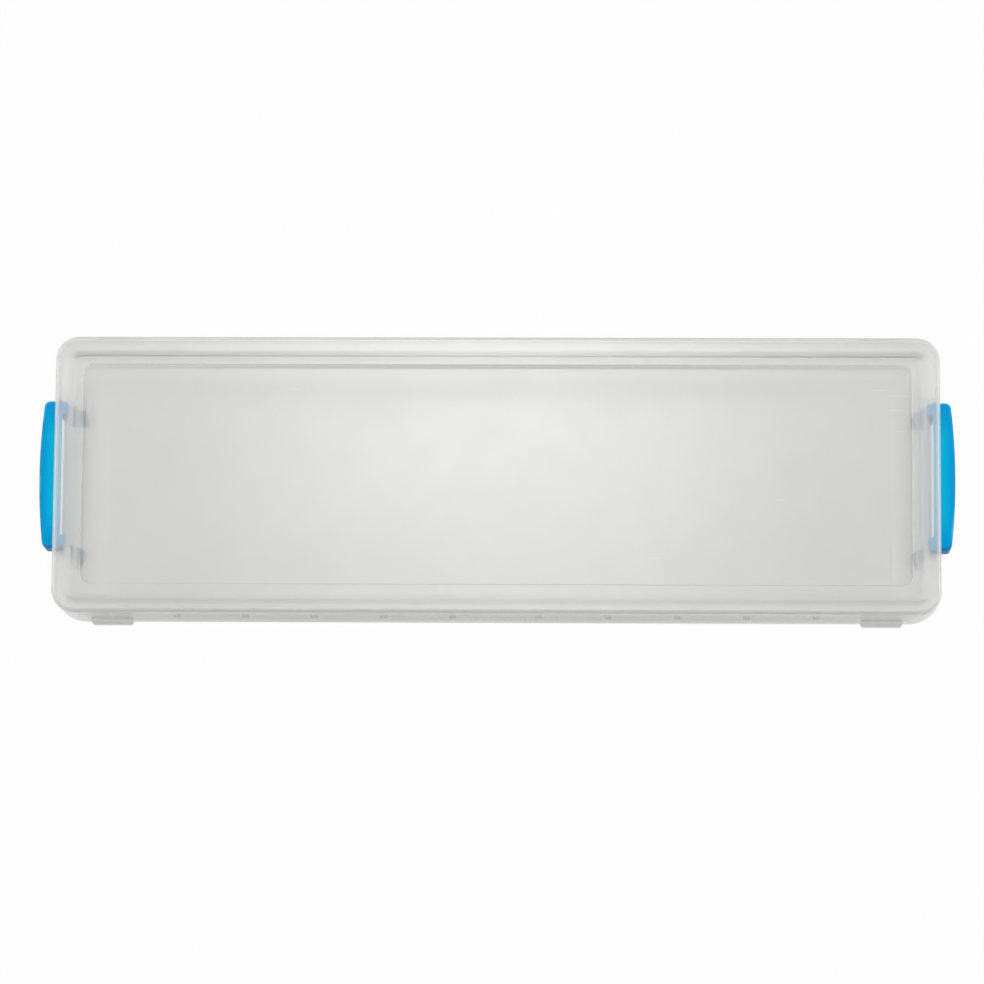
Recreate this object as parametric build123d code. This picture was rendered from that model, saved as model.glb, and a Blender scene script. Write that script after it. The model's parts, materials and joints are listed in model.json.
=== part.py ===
from build123d import *
import math
import os

# Stackable storage box. Four mouldings: a tapered base with a ribbed rim skirt, a lid with a
# stacking recess, and two latches that swing on pins at the base's ends and hook into the lid.
# X runs along the box, Y across it, Z up. The origin is the middle of the underside.

os.makedirs("parts", exist_ok=True)

# Rim outline, which the base's ledge and the lid share
length = 360.0
width = 113.5
rim_corner = 9.5

# Base: floor, walls that flare towards the rim, and the ledge the lid stands on
bottom_length = 332.0
bottom_width = 88.4
bottom_edge = 2.5
base_height = 57.0
wall = 1.6
floor_thickness = 1.8
ledge_width = 5.0
ledge_thickness = 1.6

# Skirt that hangs from the ledge and flares a little
skirt_depth = 15.0
skirt_flare = 1.2
skirt_corner = 14.0
skirt_wall = 1.6

# Ribs between the long walls and the skirt
rib_count = 10
rib_pitch = 28.05
rib_middle_gap = 35.0
rib_thickness = 1.6
rib_lift = 1.0

# Pads that stand proud of the skirt's lower edge, near each corner
pad_length = 17.0
pad_end_inset = 15.0
pad_height = 4.5
pad_proud = 1.5
pad_corner = 1.4

# Lid: rim wall, raised border, sunken panel and the lip that plugs the base's mouth
lid_height = 6.0
lid_wall = 1.6
lid_edge = 1.5
recess_inset = 12.5
recess_depth = 4.5
recess_draft = 0.8
recess_corner = 3.0
recess_edge = 0.5
lip_depth = 3.5
lip_wall = 1.4
lip_clearance = 0.4

# Latch bays at both ends, where the skirt, the ledge and the lid's rim wall step back
bay_setback = 3.3
bay_side_gap = 0.4
lug_thickness = 2.4
lug_radius = 4.6

# Latches
latch_width = 60.4
latch_proud_middle = 6.0
latch_proud_end = 4.2
latch_corner = 2.4
latch_skin = 2.0
latch_edge = 1.4
latch_gap = 0.5
grip_height = 17.0
grip_lower_corner = 6.0
arm_width = 4.0
arm_depth = 4.0
arm_neck_height = 7.0
arm_neck_overlap = 1.0
arm_end_radius = 3.2
arm_wall_gap = 0.37
pivot_height = 24.0
pin_radius = 2.0
pin_running_gap = 0.05
pin_end_gap = 0.4

# Hooks at the top of the latch arms, and the lid's windows that take them
hook_width = 4.4
hook_inset = 0.8
hook_thickness = 1.6
hook_clearance = 0.3
hook_bite = 0.3
window_side_gap = 0.5

# A cut runs this far past the face that it opens, and no inner corner is tighter than this
past = 5.0
smallest_corner = 1.0

# Heights
total_height = base_height + lid_height
border_underside = total_height - lid_wall
panel_top = total_height - recess_depth
skirt_bottom = base_height - skirt_depth
hook_top = border_underside - hook_clearance
hook_underside = hook_top - hook_thickness
sill_top = hook_underside - hook_clearance

# Half lengths along X and half widths along Y
rim_x = length / 2
rim_y = width / 2
wall_x = rim_x - ledge_width
wall_y = rim_y - ledge_width
wall_corner = rim_corner - ledge_width
bay_face_x = rim_x - bay_setback
bay_y = latch_width / 2 + bay_side_gap


def block(x0, x1, y0, y1, z0, z1):
    """A box between two corners."""
    return Pos((x0 + x1) / 2, (y0 + y1) / 2, (z0 + z1) / 2) * Box(x1 - x0, y1 - y0, z1 - z0)


def tapered(low, high):
    """A solid between two rounded rectangles, each given as (half x, half y, corner, z)."""
    sections = [
        Pos(0, 0, z) * RectangleRounded(2 * half_x, 2 * half_y, corner)
        for half_x, half_y, corner, z in (low, high)
    ]
    return loft(sections, ruled=True)


def both_ends(solid):
    """The solid at the right-hand end and its mirror image at the left-hand end."""
    return [solid, mirror(solid, about=Plane.YZ)]


def wall_half_sizes(z, inset=0.0):
    """Half length and half width of the flaring base wall at height z, drawn in by inset."""
    share = z / base_height
    half_x = bottom_length / 2 + share * (wall_x - bottom_length / 2)
    half_y = bottom_width / 2 + share * (wall_y - bottom_width / 2)
    return half_x - inset, half_y - inset


def drawn_in(corner, inset):
    """Radius of a corner after its outline is drawn in by inset."""
    return max(corner - inset, smallest_corner)


def wall_block(z_low, z_high, inset=0.0):
    """The space inside the flaring wall from one height to another, drawn in by inset."""
    low_x, low_y = wall_half_sizes(z_low, inset)
    high_x, high_y = wall_half_sizes(z_high, inset)

    def flaring_view(low, high):
        corners = ((-low, z_low), (low, z_low), (high, z_high), (-high, z_high))
        return Polygon(*corners, align=None)

    across = extrude(Plane.XZ * flaring_view(low_x, high_x), width, both=True)
    along = extrude(Plane.YZ * flaring_view(low_y, high_y), length, both=True)
    both_views = across & along
    upright = both_views.edges().filter_by(
        lambda edge: edge.bounding_box().size.Z > (z_high - z_low) / 2
    )
    return fillet(upright, drawn_in(wall_corner, inset))


# The latch's pivot stands off the end wall by the arm's rounded end and a gap
end_taper = math.atan2(wall_x - bottom_length / 2, base_height)
pivot_x = wall_half_sizes(pivot_height)[0] + (arm_end_radius + arm_wall_gap) / math.cos(end_taper)
pivot_z = pivot_height


def bay_profile(points, radius):
    """Side view of a latch part: the hull of a circle at the pivot and some points."""
    circle = Pos(pivot_x, pivot_z) * Circle(radius)
    outline = Polyline(*points, close=True)
    hull = make_hull(circle.edges() + outline.edges())
    return hull


def along_y(profile, y0, y1):
    """Extrudes a side view, drawn as (x, z), from y0 to y1."""
    return extrude(Plane((0, y1, 0), x_dir=(1, 0, 0), z_dir=(0, -1, 0)) * profile, y1 - y0)


def skirt_shape(inset):
    """The space inside the skirt's outer face, drawn in by inset."""
    low = (
        rim_x + skirt_flare - inset,
        rim_y + skirt_flare - inset,
        skirt_corner - inset,
        skirt_bottom,
    )
    high = (rim_x - inset, rim_y - inset, rim_corner - inset, base_height)
    return tapered(low, high)


def rib_places():
    """X of each rib on one long side, from one end to the other."""
    half = rib_count // 2
    right = [rib_middle_gap / 2 + rib_pitch * step for step in range(half)]
    return [-x for x in reversed(right)] + right


def make_pads():
    """Four pads on the skirt's lower edge."""
    pads = []
    outer_y = rim_y + skirt_flare + pad_proud
    start = rim_x - pad_end_inset - pad_length
    pad = block(start, start + pad_length, wall_y, outer_y, skirt_bottom, skirt_bottom + pad_height)
    pad = fillet(pad.edges().filter_by(Axis.Z).sort_by(Axis.Y)[-2:], pad_corner)
    pad -= skirt_shape(skirt_wall)
    for side in (pad, mirror(pad, about=Plane.YZ)):
        pads += [side, mirror(side, about=Plane.XZ)]
    return pads


def make_lugs():
    """The four drilled webs that close the sides of the latch bays and hold the pins."""
    rim_points = [
        (bay_face_x, base_height),
        (bay_face_x - ledge_width, base_height),
        (bay_face_x - ledge_width, skirt_bottom),
        (rim_x, skirt_bottom),
        (rim_x, base_height),
    ]
    foot_z = pivot_z - 2 * lug_radius
    rim_points += [(wall_half_sizes(foot_z)[0] - wall / 2, foot_z)]
    web = along_y(bay_profile(rim_points, lug_radius), bay_y, bay_y + lug_thickness)
    hole_radius = pin_radius + pin_running_gap
    hole = Pos(pivot_x, bay_y + lug_thickness / 2, pivot_z) * Rot(90, 0, 0)
    web -= hole * Cylinder(hole_radius, lug_thickness + 2 * past)
    lugs = []
    for side in both_ends(web):
        lugs += [side, mirror(side, about=Plane.XZ)]
    return lugs


def make_base():
    shell = wall_block(0, base_height)
    underside = shell.faces().sort_by(Axis.Z)[0]
    shell = fillet(underside.edges(), bottom_edge)

    skirt = skirt_shape(0) - skirt_shape(skirt_wall)
    ledge_low = (rim_x, rim_y, rim_corner, base_height - ledge_thickness)
    ledge_high = (rim_x, rim_y, rim_corner, base_height)
    rim = skirt + (skirt_shape(0) & tapered(ledge_low, ledge_high))
    rib_low, rib_high = skirt_bottom + rib_lift, base_height
    for x in rib_places():
        sides = block(
            x - rib_thickness / 2, x + rib_thickness / 2, -width, width, rib_low, rib_high
        )
        rim += sides & skirt_shape(skirt_wall / 2)

    bay = block(bay_face_x, length, -bay_y, bay_y, skirt_bottom - past, base_height + past)
    rim -= both_ends(bay)
    under_ledge = base_height - ledge_thickness
    behind_skirt = block(wall_x, length, -bay_y, bay_y, skirt_bottom - past, under_ledge)
    rim -= both_ends(behind_skirt)

    base = shell + rim + make_pads() + make_lugs()
    mouth = wall_block(floor_thickness, base_height + past, wall)
    floor_edges = mouth.faces().sort_by(Axis.Z)[0].edges()
    return base - fillet(floor_edges, drawn_in(bottom_edge, wall))


def make_lid():
    outer_low = (rim_x, rim_y, rim_corner, base_height)
    outer_high = (rim_x, rim_y, rim_corner, total_height)
    lid = tapered(outer_low, outer_high)
    lid = fillet(lid.faces().sort_by(Axis.Z)[-1].edges(), lid_edge)

    # The bays: the rim wall steps back under the border, which overhangs the latches
    bay = block(bay_face_x, length, -bay_y, bay_y, base_height - past, border_underside)
    lid -= both_ends(bay)

    # The hollow under the border, between the rim wall and the recess's wall
    inner = (rim_x - lid_wall, rim_y - lid_wall, rim_corner - lid_wall)
    hollow = tapered((*inner, base_height - past), (*inner, border_underside))
    for end in both_ends(
        block(
            bay_face_x - lid_wall,
            length,
            -bay_y - lid_wall,
            bay_y + lid_wall,
            base_height - past,
            border_underside,
        )
    ):
        hollow -= end
    recess_x = rim_x - recess_inset
    recess_y = rim_y - recess_inset
    tub_low = (
        recess_x + lid_wall,
        recess_y + lid_wall,
        recess_corner + lid_wall,
        panel_top - lid_wall,
    )
    tub_high = (
        recess_x + lid_wall + recess_draft,
        recess_y + lid_wall + recess_draft,
        recess_corner + lid_wall + recess_draft,
        total_height,
    )
    hollow -= tapered(tub_low, tub_high)
    lid -= hollow

    recess_low = (recess_x, recess_y, recess_corner, panel_top)
    recess_high = (
        recess_x + recess_draft,
        recess_y + recess_draft,
        recess_corner + recess_draft,
        total_height,
    )
    lid -= tapered(recess_low, recess_high)
    border_top = lid.faces().filter_by(Axis.Z).sort_by(Axis.Z)[-1]
    lid = fillet(border_top.inner_wires()[0].edges(), recess_edge)

    # The lip that plugs the base's mouth
    lip_low = base_height - lip_depth
    mouth_x, mouth_y = wall_half_sizes(lip_low, wall + lip_clearance)
    mouth_corner = drawn_in(wall_corner, wall + lip_clearance)
    lip = tapered(
        (mouth_x, mouth_y, mouth_corner, lip_low), (mouth_x, mouth_y, mouth_corner, border_underside)
    )
    inner_corner = drawn_in(mouth_corner, lip_wall)
    lip -= tapered(
        (mouth_x - lip_wall, mouth_y - lip_wall, inner_corner, lip_low),
        (mouth_x - lip_wall, mouth_y - lip_wall, inner_corner, border_underside),
    )
    lid += lip

    # Windows in the stepped-back rim wall, one for each hook
    hook_y = latch_width / 2 - hook_inset
    window = block(
        bay_face_x - lid_wall - window_side_gap,
        bay_face_x + past,
        hook_y - hook_width - window_side_gap,
        hook_y + window_side_gap,
        sill_top,
        border_underside,
    )
    for end in both_ends(window):
        lid -= end
        lid -= mirror(end, about=Plane.XZ)
    return lid


def make_latch():
    """The latch at the right-hand end, hooked into the lid."""
    inner_x = bay_face_x + latch_gap
    half = latch_width / 2
    end_x = rim_x + latch_proud_end
    middle_x = rim_x + latch_proud_middle
    bottom_z = hook_top - grip_height

    # Plan of the grip: straight towards the box, bowed outwards
    with BuildSketch() as plan:
        with BuildLine():
            ThreePointArc((end_x, -half), (middle_x, 0), (end_x, half))
            Polyline((end_x, half), (inner_x, half), (inner_x, -half), (end_x, -half))
        make_face()
        outer_corners = plan.vertices().group_by(Axis.X)[-1]
        fillet(outer_corners, latch_corner)
    grip = extrude(Pos(0, 0, bottom_z) * plan.sketch, grip_height)
    outer_top = grip.faces().sort_by(Axis.Z)[-1].edges().filter_by(
        lambda edge: edge.center().X > inner_x + latch_corner
    )
    grip = fillet(outer_top, latch_edge)

    # Its lower corners are round, seen from the end of the box
    face = Pos(0, hook_top - grip_height / 2) * Rectangle(latch_width, grip_height)
    face = fillet(face.vertices().group_by(Axis.Y)[0], grip_lower_corner)
    grip &= extrude(Plane.YZ * face, 2 * length)

    # Hollow behind the grip, open downwards and towards the box
    hollow = Pos(-latch_skin, 0, bottom_z - past) * plan.sketch
    hollow = extrude(hollow, grip_height + past - hook_thickness)
    hollow += block(
        bay_face_x - past,
        inner_x + latch_skin,
        -half,
        half,
        bottom_z - past,
        hook_underside,
    )
    grip -= hollow & block(0, length, -half + arm_width, half - arm_width, 0, total_height)

    # Arms from the grip down to the pivot, each with a pin and a hook
    neck_z = hook_top - arm_neck_height
    neck_outer_x = inner_x + arm_depth
    neck_low_z = neck_z - arm_neck_overlap
    neck_points = [
        (inner_x, neck_z),
        (neck_outer_x, neck_z),
        (neck_outer_x, neck_low_z),
        (inner_x, neck_low_z),
    ]
    arm = along_y(bay_profile(neck_points, arm_end_radius), half - arm_width, half)
    arm += block(inner_x, neck_outer_x, half - arm_width, half, neck_z, hook_underside)
    pin_length = bay_side_gap + lug_thickness - pin_end_gap
    pin_middle_y = half + pin_length / 2
    arm += Pos(pivot_x, pin_middle_y, pivot_z) * Rot(90, 0, 0) * Cylinder(pin_radius, pin_length)
    hook_y = half - hook_inset
    arm += block(
        bay_face_x - lid_wall - hook_bite,
        neck_outer_x,
        hook_y - hook_width,
        hook_y,
        hook_underside,
        hook_top,
    )
    return grip + arm + mirror(arm, about=Plane.XZ)


base = make_base()
lid = make_lid()
latch_right = make_latch()
latch_left = mirror(latch_right, about=Plane.YZ)

for name, shape in (
    ("base", base),
    ("lid", lid),
    ("latch_left", latch_left),
    ("latch_right", latch_right),
):
    export_step(shape, f"parts/{name}.step")
    print(name, len(shape.solids()), "solid", round(shape.volume, 1), "mm3")

print("latch pivot", round(pivot_x, 3), pivot_z)
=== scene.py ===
# %% [markdown]
# # A stackable storage box in see-through plastic
#
# The box is four mouldings: a clear base, a clear lid and two cyan latches. Their shapes, sizes and joints
# come from the CAD frame, so this lesson is about what makes them look real: a camera nearly straight above,
# light that comes from all sides, and two plastics that pass light in quite different ways.
#
# First the frame is loaded.

# %% Load the frame
import json
import math
from types import SimpleNamespace

import bpy
from mathutils import Matrix, Vector

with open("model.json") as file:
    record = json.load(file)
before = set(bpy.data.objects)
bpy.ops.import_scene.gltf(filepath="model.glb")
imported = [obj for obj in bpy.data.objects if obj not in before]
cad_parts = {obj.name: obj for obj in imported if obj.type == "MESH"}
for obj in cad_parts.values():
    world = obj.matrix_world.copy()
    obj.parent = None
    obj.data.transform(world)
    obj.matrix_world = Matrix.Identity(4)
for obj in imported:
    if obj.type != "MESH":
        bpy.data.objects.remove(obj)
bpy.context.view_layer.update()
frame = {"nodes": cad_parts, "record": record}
scene = bpy.context.scene


print("pieces:", sorted(frame["nodes"]))

# %% [markdown]
# ## The camera
#
# The photograph looks down on the lid, leaning a few degrees towards the front, from far away with a long
# lens. A camera could be placed by its own coordinates, but it is easier to place by what it looks at: a
# point on the lid, a distance, and three angles. The lens follows from how large a millimetre should be on
# the picture.

# %% Place the camera
PICTURE_SIDE_PX = 984
SENSOR_MM = 36.0
FOCAL_PX = 4937.0
CAMERA_DISTANCE = 2.0
CAMERA_REACH = 20.0
CAMERA_TILT = math.radians(9.43)
CAMERA_YAW = math.radians(1.585)
CAMERA_ROLL = math.radians(0.42)
AIM = Vector((-0.0016, -0.00732, 0.063))


def place_camera():
    camera_data = bpy.data.cameras.new("camera")
    camera_data.sensor_width = SENSOR_MM
    camera_data.lens = SENSOR_MM * FOCAL_PX / PICTURE_SIDE_PX
    camera_data.clip_end = CAMERA_REACH
    camera = bpy.data.objects.new("camera", camera_data)
    scene.collection.objects.link(camera)
    turn = (
        Matrix.Rotation(CAMERA_YAW, 4, "Y")
        @ Matrix.Rotation(CAMERA_TILT, 4, "X")
        @ Matrix.Rotation(CAMERA_ROLL, 4, "Z")
    )
    camera.matrix_world = Matrix.Translation(AIM) @ turn @ Matrix.Translation((0, 0, CAMERA_DISTANCE))
    scene.camera = camera
    return camera


print("lens in mm:", round(place_camera().data.lens, 1))

# %% [markdown]
# ## Short ways to build a material
#
# A Blender material is a small graph of nodes: boxes with inputs and outputs, joined by links. Writing each
# node and link out in full hides what the material does, so one small class keeps a graph and adds to it in
# single lines. Every input may be a number, a colour, or the output of another node.

# %% Add and join nodes
# The Mix node has sockets for several kinds of value. These are its sockets for colours.
MIX_FACTOR, MIX_FIRST, MIX_SECOND, MIX_OUTPUT = 0, 6, 7, 2


class Graph:
    """The nodes of one material or world, with short ways to add and join them."""

    def __init__(self, tree):
        self.nodes, self.links = tree.nodes, tree.links

    def feed(self, socket, value):
        """Gives a socket a number, a colour or another node's output."""
        if isinstance(value, bpy.types.NodeSocket):
            self.links.new(value, socket)
        elif isinstance(value, tuple):
            socket.default_value = (*value, 1)[: len(socket.default_value)]
        else:
            socket.default_value = value

    def node(self, kind, inputs=None, **settings):
        """Adds a node with its settings and inputs."""
        node = self.nodes.new(f"ShaderNode{kind}")
        for name, value in settings.items():
            setattr(node, name, value)
        for name, value in (inputs or {}).items():
            self.feed(node.inputs[name], value)
        return node

    def add(self, kind, inputs=None, output=0, **settings):
        """Adds a node and gives back one of its outputs."""
        return self.node(kind, inputs, **settings).outputs[output]

    def math(self, operation, first, second=0.0):
        """Adds one step of arithmetic."""
        return self.add("Math", {0: first, 1: second}, operation=operation)

    def mix(self, factor, first, second):
        """Mixes two shaders: 0 is the first, 1 the second."""
        return self.add("MixShader", {0: factor, 1: first, 2: second})

    def blend(self, factor, first, second):
        """A colour between two: 0 is the first, 1 the second."""
        ends = {MIX_FACTOR: factor, MIX_FIRST: first, MIX_SECOND: second}
        return self.add("Mix", ends, MIX_OUTPUT, data_type="RGBA")


print("a graph can:", [name for name in vars(Graph) if not name.startswith("_")])

# %% [markdown]
# Unevenness could come from pictures laid over the pieces, but Blender's own noise needs no picture and never
# repeats. The patterns have their real size, because they are made from the place on the piece in metres: a
# noise of scale 100 has lumps of about a centimetre. A pattern is then stretched to the range that the
# setting it drives should have. A pattern that runs from 0 to 1 is a mask: it says where something is.

# %% Patterns, ranges and masks
NOISE_DETAIL = 3.0
MIDDLE_OF_NOISE = (0.3, 0.7)


def noise(graph, scale, detail=NOISE_DETAIL):
    """A lumpy pattern with a given number of lumps in a metre."""
    place = graph.add("TexCoord", output="Object")
    return graph.add("TexNoise", {"Vector": place, "Scale": scale, "Detail": detail})


def spread(graph, value, out, into=MIDDLE_OF_NOISE):
    """Maps one range of values to another."""
    ends = {"From Min": into[0], "From Max": into[1], "To Min": out[0], "To Max": out[1]}
    return graph.add("MapRange", {"Value": value, **ends})


def rising(graph, value, limits=MIDDLE_OF_NOISE):
    """A mask: 0 below the first limit, 1 above the second and a ramp between them."""
    return spread(graph, value, (0.0, 1.0), limits)


def falling(graph, value, limits):
    """A mask: 1 below the first limit, 0 above the second and a ramp between them."""
    return spread(graph, value, (1.0, 0.0), limits)


def by_mask(graph, mask, outside, inside):
    """One number where a mask is 0 and another where it is 1."""
    return spread(graph, mask, (outside, inside), (0.0, 1.0))


print("noise is stretched from its middle:", MIDDLE_OF_NOISE)

# %% [markdown]
# ## Floor, surroundings and lamps
#
# See-through plastic shows what is round it more than any lamp does, so the surroundings are plain and
# bright. The floor is a large white sheet. It could be lit until it is white, but that much light would wash
# the box out. So what the camera sees of it is mostly the sheet's own white, with a share of real shading
# left in, which keeps the box's soft shadow.
#
# A box that stands on white is darker inside than the white round it, so most of what is seen under it is
# real shading. That patch of ground is a rectangle with rounded corners, like the box itself. How far a point
# lies inside such an outline is found as for a straight-sided rectangle, except near the corners, where the
# way to the middle of the rounding counts. As the camera sees it, the patch ends just inside the rim, so that
# it doesn't look out from under the lid.

# %% Ground beside the box and under it
UNDER_BOX_HALF = (0.1845, 0.0521)
UNDER_BOX_LEFTWARD = 0.001
UNDER_BOX_CORNER = 0.020
UNDER_BOX_FADE = 0.0015


def inside_outline(graph, place, half, corner):
    """How far a point lies inside a rounded rectangle, in metres."""
    past_end = graph.math("SUBTRACT", place.along, half[0] - corner)
    past_side = graph.math("SUBTRACT", place.across, half[1] - corner)
    straight = graph.math("MINIMUM", graph.math("MAXIMUM", past_end, past_side), 0.0)
    parts = {0: graph.math("MAXIMUM", past_end, 0.0), 1: graph.math("MAXIMUM", past_side, 0.0)}
    rounded = graph.add("VectorMath", {0: graph.add("CombineXYZ", parts)}, "Value", operation="LENGTH")
    return graph.math("SUBTRACT", corner, graph.math("ADD", straight, rounded))


def beside_box(graph):
    """0 under the box and 1 outside it, fading in between."""
    spot = graph.node("SeparateXYZ", {0: graph.add("TexCoord", output="Object")}).outputs
    along = graph.math("ABSOLUTE", graph.math("ADD", spot["X"], UNDER_BOX_LEFTWARD))
    place = SimpleNamespace(along=along, across=graph.math("ABSOLUTE", spot["Y"]))
    inside = inside_outline(graph, place, UNDER_BOX_HALF, UNDER_BOX_CORNER)
    return falling(graph, inside, (0.0, UNDER_BOX_FADE))


print("ground under the box in mm:", [round(2000 * half) for half in UNDER_BOX_HALF])

# %% [markdown]
# The sheet's material is a mix of two: paper that is shaded like any other surface, and a plain white glow.
# A ray knows what sent it, so the glow is kept for what is seen straight, in a mirror or through the box, and
# light that is scattered on its way meets the paper.

# %% White sheet
FLOOR_WHITE = (0.64, 0.64, 0.64)
FLOOR_OWN_WHITE_SHARE = 0.97
UNDER_BOX_OWN_WHITE_SHARE = 0.38


def new_material(name):
    """An empty material and its graph."""
    material = bpy.data.materials.new(name)
    material.use_nodes = True
    material.node_tree.nodes.clear()
    return material, Graph(material.node_tree)


def seen_directly(graph):
    """1 for rays from the camera, in mirrors and through see-through things, else 0."""
    path = graph.node("LightPath").outputs
    mirrored = graph.math("MAXIMUM", path["Is Glossy Ray"], path["Is Transmission Ray"])
    return graph.math("MAXIMUM", path["Is Camera Ray"], mirrored)


def white_sheet():
    """Pale paper that looks white to the camera."""
    material, graph = new_material("white_floor")
    shaded = graph.add("BsdfDiffuse", {"Color": FLOOR_WHITE})
    own_white = graph.add("Emission")
    own_share = by_mask(graph, beside_box(graph), UNDER_BOX_OWN_WHITE_SHARE, FLOOR_OWN_WHITE_SHARE)
    share = graph.math("MULTIPLY", seen_directly(graph), own_share)
    graph.node("OutputMaterial", {"Surface": graph.mix(share, shaded, own_white)})
    return material


paper = white_sheet()
print(paper.name, "has", len(paper.node_tree.nodes), "nodes")

# %% [markdown]
# A single square face is enough for the floor. It is so large that the camera never sees its edge.

# %% Lay the floor
FLOOR_HALF_SIDE = 4.0


def make_floor(material):
    side = FLOOR_HALF_SIDE
    corners = [(-side, -side, 0), (side, -side, 0), (side, side, 0), (-side, side, 0)]
    mesh = bpy.data.meshes.new("floor")
    mesh.from_pydata(corners, [], [(0, 1, 2, 3)])
    mesh.materials.append(material)
    floor = bpy.data.objects.new("floor", mesh)
    scene.collection.objects.link(floor)
    return floor


print("floor side in m:", make_floor(paper).dimensions.x)

# %% [markdown]
# The light comes mostly from above, behind and both ends, and least from the front. That is what draws bright
# lines along the edges that face the ends and soft dark ones along those that face the front; on the skirt
# and above the long walls that dark is deepened with painted shade in the milk's colour. A picture of a
# studio could light the room, but it would show in the plastic. So the room is a plain white that fades
# clearly towards the front.

# %% Room light
ROOM_WHITE = (1.0, 1.0, 1.0)
ROOM_FRONT, ROOM_REAR = 0.08, 0.70
ROOM_FADE = (-1.0, 0.4)


def make_world():
    world = bpy.data.worlds.new("soft_white_room")
    world.use_nodes = True
    graph = Graph(world.node_tree)
    direction = graph.add("TexCoord", output="Generated")
    towards_rear = graph.node("SeparateXYZ", {0: direction}).outputs["Y"]
    sky = world.node_tree.nodes["Background"]
    graph.feed(sky.inputs["Color"], ROOM_WHITE)
    graph.feed(sky.inputs["Strength"], spread(graph, towards_rear, (ROOM_FRONT, ROOM_REAR), ROOM_FADE))
    scene.world = world


make_world()
print("room light, front and rear:", ROOM_FRONT, ROOM_REAR)

# %% [markdown]
# Three lamps lay soft highlights on the rounded edges: one high up and behind, and a larger one past each
# end. They are round and wide for such a box, because a small lamp would draw every rib as a hard shadow.
# The camera doesn't see the lamps themselves.

# %% Lamps
LAMPS = {
    "overhead": {"place": (-0.045, 0.38, 1.7), "size": 0.35, "watts": 4.85},
    "left_box": {"place": (-1.15, 0.15, 0.9), "size": 0.8, "watts": 9.9},
    "right_box": {"place": (1.15, 0.15, 0.9), "size": 0.8, "watts": 10.7},
}


def make_lamp(name, place, size, watts):
    """A round soft lamp that points at the middle of the floor."""
    data = bpy.data.lights.new(name, "AREA")
    data.shape = "DISK"
    data.size = size
    data.energy = watts
    lamp = bpy.data.objects.new(name, data)
    lamp.location = place
    lamp.rotation_euler = Vector(place).to_track_quat("Z", "Y").to_euler()
    lamp.visible_camera = False
    scene.collection.objects.link(lamp)


for lamp_name, facts in LAMPS.items():
    make_lamp(lamp_name, **facts)
    print(lamp_name, "shines with", facts["watts"], "W")

# %% [markdown]
# ## Where a point lies on the box
#
# Both plastics look different in their thick and thin places, so the materials need to know where a point
# lies. Masks could be painted on an unwrapped surface, but the box is so regular that plain measures do. The
# place on a piece at rest is its object coordinate, and the normal in the same coordinates tells a level
# face from a steep one. Left and right are alike, and so are front and back, so distances from the middle
# are enough.

# %% Place on a piece
RIM_HALF = (0.180, 0.05675)
RIM_CORNER = 0.0095


def place_on_piece(graph):
    """A point's height, its distances from the box's middle and from the rim, and how level its face is."""
    coordinates = graph.node("TexCoord").outputs
    spot = graph.node("SeparateXYZ", {0: coordinates["Object"]}).outputs
    facing = graph.node("SeparateXYZ", {0: coordinates["Normal"]}).outputs
    place = SimpleNamespace(
        height=spot["Z"],
        along=graph.math("ABSOLUTE", spot["X"]),
        across=graph.math("ABSOLUTE", spot["Y"]),
        level=graph.math("ABSOLUTE", facing["Z"]),
    )
    place.from_rim = inside_outline(graph, place, RIM_HALF, RIM_CORNER)
    return place


print("rim in mm:", [round(2000 * half, 1) for half in RIM_HALF])

# %% [markdown]
# A zone on the box is where several of these measures lie between their limits at once. Each gives a mask
# that fades over a fraction of a millimetre, because a hard step would be drawn as a jagged line. Masks are
# joined by multiplying them.

# %% Join masks
ZONE_SOFTNESS = 0.0003
# A limit in metres that nothing on the box reaches.
FAR = 1.0


def between(graph, value, low_limit, high_limit, soft=ZONE_SOFTNESS):
    """1 where a value lies between two limits, with soft ends."""
    above = rising(graph, value, (low_limit - soft, low_limit + soft))
    below = falling(graph, value, (high_limit - soft, high_limit + soft))
    return graph.math("MULTIPLY", above, below)


def all_of(graph, *masks):
    """1 where every mask is 1."""
    product = masks[0]
    for mask in masks[1:]:
        product = graph.math("MULTIPLY", product, mask)
    return product


def at_height(graph, place, heights, *masks):
    """1 where every mask is 1 and the height lies between two limits."""
    return all_of(graph, *masks, between(graph, place.height, *heights))


print("masks fade over", 2000 * ZONE_SOFTNESS, "mm")

# %% [markdown]
# ## Grain, scratches and wear
#
# A satin grain comes from the mould, scratches and rubbed edges come from use, and the eye misses both on a
# plain material. The grain is a bump a few thousandths of a millimetre high. The lid and walls also wave a
# little, as thin mouldings do when they cool. Both are far too fine to model, so they only tilt the normal.

# %% Grain and waves
GRAIN = {"scale": 900.0, "height": 0.000004}
WAVES = {"scale": 22.0, "height": 0.00009}
RIPPLE_DETAIL = 2.0


def ripple(graph, scale, height, normal=None):
    """A bump of lumps of one size. It may lie on another bump."""
    inputs = {"Height": noise(graph, scale, RIPPLE_DETAIL), "Distance": height, "Strength": 1.0}
    if normal is not None:
        inputs["Normal"] = normal
    return graph.add("Bump", inputs, "Normal")


print("grain and waves in mm:", [round(1000 * bump["height"], 3) for bump in (GRAIN, WAVES)])

# %% [markdown]
# A box that is wiped and slid gets fine scratches, mostly in two directions and in patches. They could be
# drawn one by one. Here they are a noise pattern squeezed into long hairlines, of which only the crests are
# kept, so that a handful of numbers describes them all.

# %% Scratches
SCRATCH_ANGLES = (0.2, -0.9)
SCRATCH_SQUEEZE = (45.0, 2600.0, 45.0)
SCRATCH_CREST = (0.78, 0.84)
SCRATCHED_PATCH_SCALE = 28.0
SCRATCHED_PATCHES = (0.54, 0.66)


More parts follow.
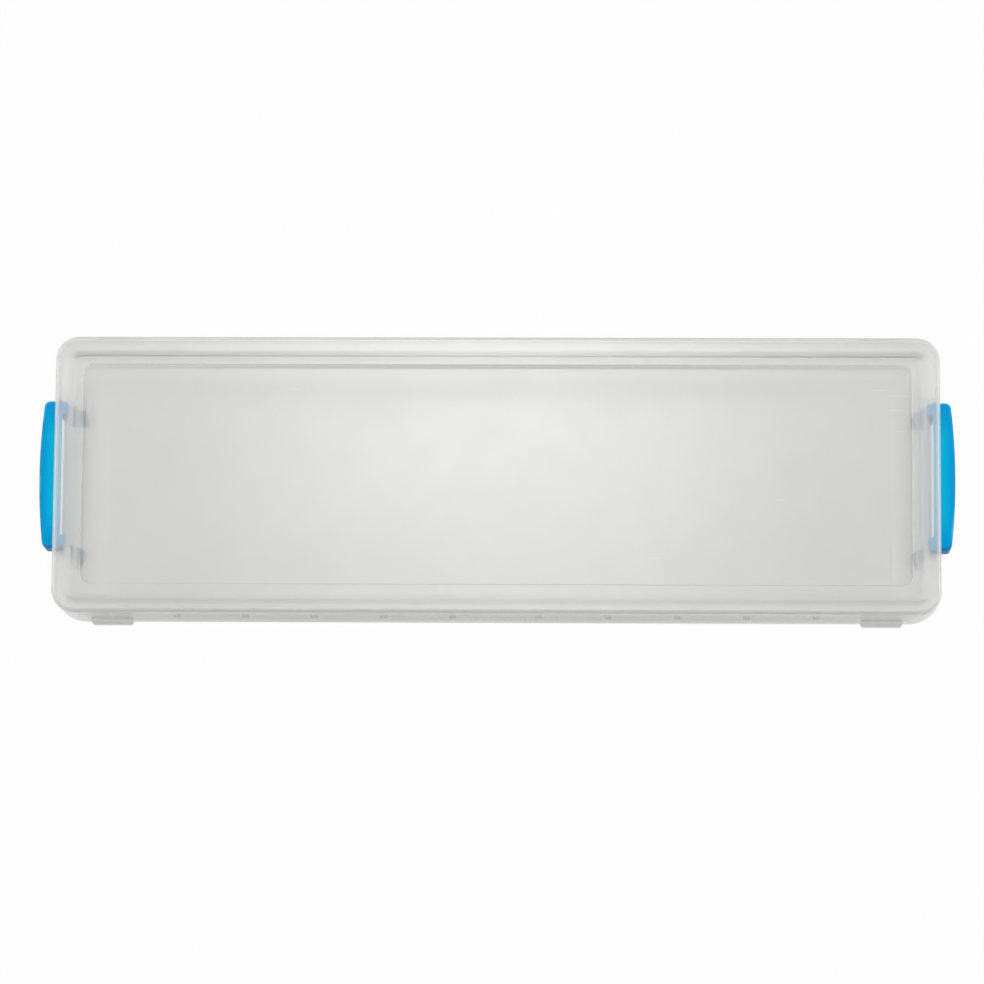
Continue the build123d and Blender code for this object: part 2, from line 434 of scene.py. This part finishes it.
def scratches(graph):
    """1 on fine hairlines in two directions, else 0."""
    place = graph.add("TexCoord", output="Object")
    found = 0.0
    for angle in SCRATCH_ANGLES:
        turned = {"Vector": place, "Rotation": (0.0, 0.0, angle), "Scale": SCRATCH_SQUEEZE}
        hairlines = {"Vector": graph.add("Mapping", turned), "Scale": 1.0, "Detail": 0.0}
        crests = rising(graph, graph.add("TexNoise", hairlines), SCRATCH_CREST)
        found = graph.math("MAXIMUM", crests, found)
    patches = rising(graph, noise(graph, SCRATCHED_PATCH_SCALE), SCRATCHED_PATCHES)
    return graph.math("MULTIPLY", found, patches)


print("scratches run at", [round(math.degrees(angle)) for angle in SCRATCH_ANGLES], "degrees")

# %% [markdown]
# Edges rub white in patches. A rounded edge is where the normal is neither level nor upright, so it needs no
# drawing: it is found by its slope.

# %% Worn edges
WORN_EDGE_LEVELS = (0.25, 0.9)
WORN_EDGE_SOFTNESS = 0.08
WORN_PATCH_SCALE = 70.0
WORN_PATCHES = (0.48, 0.66)


def worn_edges(graph, place):
    """1 in patches along rounded edges, else 0."""
    rounded = between(graph, place.level, *WORN_EDGE_LEVELS, soft=WORN_EDGE_SOFTNESS)
    patches = rising(graph, noise(graph, WORN_PATCH_SCALE), WORN_PATCHES)
    return graph.math("MULTIPLY", rounded, patches)


print("worn patches to a metre:", WORN_PATCH_SCALE)

# %% [markdown]
# ## The clear plastic
#
# Natural polypropylene is neither glass nor paper. A thin wall of it bends light hardly at all, so what is
# behind shows in its true place, but veiled: part of the light is scattered in the plastic, as in thin milk.
# A glass shader would bend the view at each of a dozen faces and render slowly. So each face is a mix of two
# things: plain see-through, and a milk that lights up on both sides. How much of it is milk depends on how
# much plastic lies in the line of sight, and five places need their own share.
#
# Two of the five are on the ledge inside the rim. A rib under the ledge is looked at along its height, and
# shows as a milky bar. The top of the base's wall is looked at along the wall, which is 57 mm of plastic
# instead of 1.6.

# %% Ribs and wall under the ledge
LEDGE_HEIGHTS = (0.0500, 0.0572)
RIB_FIRST, RIB_PITCH, RIB_LAST = 0.0175, 0.02805, 0.1297
RIB_HALF, RIB_SOFT = 0.0008, 0.0008
RIB_INNER = 0.0500
WALL_TOP = (0.0047, 0.0068)
WALL_TOP_SOFTNESS = 0.0010


def over_a_rib(graph, place):
    """1 on the ledge where one of the ribs stands under it, else 0."""
    past_first = graph.math("SUBTRACT", place.along, RIB_FIRST)
    to_rib = graph.math("PINGPONG", past_first, RIB_PITCH / 2)
    near_rib = falling(graph, to_rib, (RIB_HALF, RIB_HALF + RIB_SOFT))
    along_row = between(graph, place.along, 0.0, RIB_LAST + RIB_PITCH / 2)
    over_row = between(graph, place.across, RIB_INNER, FAR)
    return at_height(graph, place, LEDGE_HEIGHTS, near_rib, along_row, over_row)


def over_wall_top(graph, place):
    """1 on the ledge above the base's wall, else 0."""
    above_wall = between(graph, place.from_rim, *WALL_TOP, soft=WALL_TOP_SOFTNESS)
    return at_height(graph, place, LEDGE_HEIGHTS, above_wall)


print("a rib every", round(1000 * RIB_PITCH, 2), "mm")

# %% [markdown]
# The skirt hangs down from the rim, and the pads stand on its lower edge near the corners. The pads are
# solid, so they are milkier than a sheet. The skirt is a sheet, and its mask carries a painted shade: a
# greyer milk that stands in for the shade the skirt lies in, facing the dim front under the rim.

# %% Skirt and pads
SKIRT_FROM_RIM = 0.0006
SKIRT_HEIGHTS = (0.0400, 0.0562)
PAD_FROM_AXIS = 0.0581
PAD_HEIGHTS = (0.0400, 0.0475)


def skirt_painted_shade_zone(graph, place):
    """1 on the rim's skirt, where the milk is painted greyer as shade, and 0 above it and further in."""
    return at_height(graph, place, SKIRT_HEIGHTS, between(graph, place.from_rim, -FAR, SKIRT_FROM_RIM))


def on_a_pad(graph, place):
    """1 on the pads of the long sides, which stand proud of the skirt, else 0."""
    return at_height(graph, place, PAD_HEIGHTS, between(graph, place.across, PAD_FROM_AXIS, FAR))


print("skirt and pad heights in m:", SKIRT_HEIGHTS, PAD_HEIGHTS)

# %% [markdown]
# The lid's outer rim is looked at along its wall, and shows as a faint line round the lid. The short steep
# walls further in are looked at nearly edge-on. As milk they would be dark lines, so they are clear.

# %% The lid's rim and steep inner walls
LID_RIM = (-0.0010, 0.0017)
LID_RIM_HEIGHTS = (0.0568, 0.0640)
INNER_STEEP_FROM_RIM = (0.0030, 0.0300)
INNER_STEEP_HEIGHTS = (0.0530, 0.0640)
STEEP_LEVELS = (0.35, 0.75)


def on_lid_rim(graph, place):
    """1 on the lid's outer rim, else 0."""
    return at_height(graph, place, LID_RIM_HEIGHTS, between(graph, place.from_rim, *LID_RIM))


def on_inner_steep(graph, place):
    """1 on the steep walls inside the lid, else 0."""
    steep = falling(graph, place.level, STEEP_LEVELS)
    further_in = between(graph, place.from_rim, *INNER_STEEP_FROM_RIM)
    return at_height(graph, place, INNER_STEEP_HEIGHTS, steep, further_in)


print("lid rim and inner wall heights in m:", LID_RIM_HEIGHTS, INNER_STEEP_HEIGHTS)

# %% [markdown]
# The milk's share starts from the plain sheet, with a little less where a face is turned away. It changes in
# each of those places, and rises slightly on scratches and worn edges.

# %% Share of the milk
SHEET_MILK, TURNED_MILK = 0.30, 0.25
TURNED_BLEND, TURNED_POWER = 0.5, 2.0
MILK_UNEVENNESS = (0.99, 1.10)
UNEVENNESS_SCALE = 16.0
SCRATCH_MILK = 0.03
WORN_MILK = 0.10
ZONE_MILK = (
    (on_inner_steep, 0.0),
    (over_a_rib, 0.95),
    (over_wall_top, 0.95),
    (on_lid_rim, 0.60),
    (on_a_pad, 0.55),
)


def milk_share(graph, place):
    """How much of a face is milk."""
    turned = graph.math("POWER", graph.add("LayerWeight", {"Blend": TURNED_BLEND}, "Facing"), TURNED_POWER)
    share = by_mask(graph, turned, SHEET_MILK, TURNED_MILK)
    uneven = spread(graph, noise(graph, UNEVENNESS_SCALE), MILK_UNEVENNESS)
    share = graph.math("MULTIPLY", share, uneven)
    for zone, zone_share in ZONE_MILK:
        share = by_mask(graph, zone(graph, place), share, zone_share)
    share = graph.math("ADD", share, graph.math("MULTIPLY", scratches(graph), SCRATCH_MILK))
    return graph.math("ADD", share, graph.math("MULTIPLY", worn_edges(graph, place), WORN_MILK))


print("milk shares:", {zone.__name__: share for zone, share in ZONE_MILK})

# %% [markdown]
# The milk's colour is a hair warmer or cooler from place to place. It is greyer on the lid's rim. On the
# skirt, and where the long walls are looked at from above, it is darker still: that is painted shade,
# standing in for the shade these places lie in, since little light comes from the front and along the long
# sides.

# %% Colour of the milk
WARM_MILK = (0.852, 0.848, 0.832)
COOL_MILK = (0.845, 0.849, 0.842)
TINT_SCALE = 11.0
LONG_SIDE = (0.0490, 0.0500)


def long_wall_painted_shade_zone(graph, place):
    """1 on the ledge above the base's long walls, where the milk is painted dark as shade, else 0."""
    return all_of(graph, over_wall_top(graph, place), rising(graph, place.across, LONG_SIDE))


# The skirt's grey and the dark grey above the long walls are painted shade.
ZONE_COLOURS_WITH_PAINTED_SHADE = (
    (skirt_painted_shade_zone, (0.63, 0.63, 0.62)),
    (on_lid_rim, (0.77, 0.77, 0.76)),
    (long_wall_painted_shade_zone, (0.28, 0.28, 0.27)),
)


def milk_colour_with_painted_shade(graph, place):
    """The milk's colour, with painted shade on the skirt and above the long walls."""
    colour = graph.blend(rising(graph, noise(graph, TINT_SCALE)), WARM_MILK, COOL_MILK)
    for zone, zone_colour in ZONE_COLOURS_WITH_PAINTED_SHADE:
        colour = graph.blend(zone(graph, place), colour, zone_colour)
    return colour


print("milk colours:", {zone.__name__: colour for zone, colour in ZONE_COLOURS_WITH_PAINTED_SHADE})

# %% [markdown]
# A satin gloss lies over the see-through and the milk alike. Only the side that meets the air mirrors, so
# that no light is caught inside a wall, and the steep walls inside the lid mirror little, which keeps them
# faint.

# %% Satin gloss
CLEAR_IOR = 1.49
INNER_STEEP_SHINE = 0.1
SATIN_ROUGHNESS = (0.235, 0.255)
SATIN_SCALE = 90.0
SCRATCH_ROUGHNESS = 0.05


def outer_shine(graph, place):
    """How much a face mirrors."""
    shine = graph.add("Fresnel", {"IOR": CLEAR_IOR})
    outside = graph.math("SUBTRACT", 1.0, graph.add("NewGeometry", output="Backfacing"))
    kept = by_mask(graph, on_inner_steep(graph, place), 1.0, INNER_STEEP_SHINE)
    return all_of(graph, shine, outside, kept)


def satin_roughness(graph):
    """A satin finish that varies a little and is rougher on scratches."""
    plain = spread(graph, noise(graph, SATIN_SCALE), SATIN_ROUGHNESS)
    return graph.math("ADD", plain, graph.math("MULTIPLY", scratches(graph), SCRATCH_ROUGHNESS))


print("satin roughness:", SATIN_ROUGHNESS)

# %% [markdown]
# Lamps shine through the box too. A shadow ray can't scatter, so for it each face is a plain filter, which
# passes about what the mix of see-through and milk passes.

# %% Clear box plastic
CLEAR_PASS = (0.955, 0.955, 0.945)
THIN_CLEAR_PASS = (1.0, 1.0, 1.0)
CLEAR_SHADOW_PASS = (0.764, 0.764, 0.756)
MILK_THROUGH_SHARE = 0.5


def clear_body(graph, place, uneven):
    """See-through and milk, mixed by how much plastic lies in the line of sight."""
    colour = milk_colour_with_painted_shade(graph, place)
    lit_side = graph.add("BsdfDiffuse", {"Color": colour, "Normal": uneven})
    far_side = graph.add("BsdfTranslucent", {"Color": colour, "Normal": uneven})
    passed = graph.blend(on_inner_steep(graph, place), CLEAR_PASS, THIN_CLEAR_PASS)
    see_through = graph.add("BsdfTransparent", {"Color": passed})
    milk = graph.mix(MILK_THROUGH_SHARE, lit_side, far_side)
    return graph.mix(milk_share(graph, place), see_through, milk)


def clear_plastic():
    material, graph = new_material("clear_polypropylene")
    place = place_on_piece(graph)
    uneven = ripple(graph, **GRAIN, normal=ripple(graph, **WAVES))
    body = clear_body(graph, place, uneven)
    gloss = graph.add("BsdfGlossy", {"Roughness": satin_roughness(graph), "Normal": uneven})
    seen = graph.mix(outer_shine(graph, place), body, gloss)
    filter_only = graph.add("BsdfTransparent", {"Color": CLEAR_SHADOW_PASS})
    shadow_ray = graph.add("LightPath", output="Is Shadow Ray")
    graph.node("OutputMaterial", {"Surface": graph.mix(shadow_ray, seen, filter_only)})
    return material


box_plastic = clear_plastic()
print(box_plastic.name, "has", len(box_plastic.node_tree.nodes), "nodes")

# %% [markdown]
# ## The latch plastic
#
# The latch plastic has cyan dye in it. The grip is hollow under its top, so in its middle only a thin skin is
# looked at, which glows a lighter cyan. At its outer rim and its ends there is plastic all the way down, and
# the colour is a deeper blue. Light scattered inside the plastic would show that by itself, but slowly and
# with noise, so the glow is painted: a mask tells where the skin is thin, and the colour there is painted a
# lighter cyan.

# %% Hollow of the grip
HOLLOW_END = (0.016, 0.027)
HOLLOW_RIM = (0.1815, 0.1842)


def over_hollow(graph, place):
    """1 in the middle of the grip, where its top is thin and a lighter cyan is painted as glow, fading to 0
    at its rim and ends.
    """
    towards_end = falling(graph, place.across, HOLLOW_END)
    towards_rim = falling(graph, place.along, HOLLOW_RIM)
    return graph.math("MULTIPLY", towards_end, towards_rim)


print("the grip's thin skin fades out between, in mm:", [1000 * limit for limit in HOLLOW_END])

# %% [markdown]
# With that mask the rest is an ordinary dull plastic. A little light passes through it, which does more for
# the colour than any paint. Edges that fingers pull at are rubbed slightly paler and duller.

# %% Cyan latch plastic
# THIN_CYAN is the painted glow of the thin skin, THICK_BLUE the cyan plastic where it is solid.
THIN_CYAN = (0.0, 0.46, 0.71)
THICK_BLUE = (0.0, 0.33, 0.65)
CYAN_THROUGH_SHARE = 0.25
WORN_CYAN = (0.10, 0.60, 0.80)
WORN_LATCH_SHARE = 0.45
WORN_ROUGHNESS = 0.3
LATCH_ROUGHNESS = (0.26, 0.38)
LATCH_ROUGHNESS_SCALE = 120.0
LATCH_SPECULAR = 0.04
LATCH_GRAIN = {"scale": 900.0, "height": 0.00001}


def cyan_plastic():
    material, graph = new_material("cyan_latch_plastic")
    place = place_on_piece(graph)
    worn = graph.math("MULTIPLY", worn_edges(graph, place), WORN_LATCH_SHARE)
    dye_and_painted_glow = graph.blend(over_hollow(graph, place), THICK_BLUE, THIN_CYAN)
    colour = graph.blend(worn, dye_and_painted_glow, WORN_CYAN)
    normal = ripple(graph, **LATCH_GRAIN)
    rough = spread(graph, noise(graph, LATCH_ROUGHNESS_SCALE), LATCH_ROUGHNESS)
    painted = {
        "Base Color": colour,
        "Roughness": graph.math("ADD", rough, graph.math("MULTIPLY", worn, WORN_ROUGHNESS)),
        "IOR": CLEAR_IOR,
        "Specular IOR Level": LATCH_SPECULAR,
        "Normal": normal,
    }
    solid = graph.add("BsdfPrincipled", painted)
    through = graph.add("BsdfTranslucent", {"Color": colour, "Normal": normal})
    graph.node("OutputMaterial", {"Surface": graph.mix(CYAN_THROUGH_SHARE, solid, through)})
    return material


latch_plastic = cyan_plastic()
print(latch_plastic.name, "has", len(latch_plastic.node_tree.nodes), "nodes")

# %% [markdown]
# ## Dressing the pieces
#
# The CAD solids already have every form that the box has, so nothing is modelled again. Each piece wears the
# plastic that its record names.

# %% Dress the pieces
FINISHES = {"box_plastic": box_plastic, "latch_plastic": latch_plastic}
SLOT_OF = {part["node"]: part["material_slot"] for part in frame["record"]["subparts"]}

for node_name, piece in frame["nodes"].items():
    piece.data.materials.clear()
    piece.data.materials.append(FINISHES[SLOT_OF[node_name]])
    print(node_name, "wears", piece.data.materials[0].name)

# %% [markdown]
# ## Picture settings
#
# A line of sight can pass a dozen faces of clear plastic, and each one counts as a bounce, so the limits are
# raised. Colours are shown as they are, without a film-like curve that would grey the white floor.

# %% Picture settings
BOUNCES = {
    "transparent_max_bounces": 48,
    "max_bounces": 12,
    "diffuse_bounces": 8,
    "transmission_bounces": 12,
}

scene.view_settings.view_transform = "Standard"
for limit_name, limit in BOUNCES.items():
    setattr(scene.cycles, limit_name, limit)
print("bounces:", BOUNCES)

# %% [markdown]
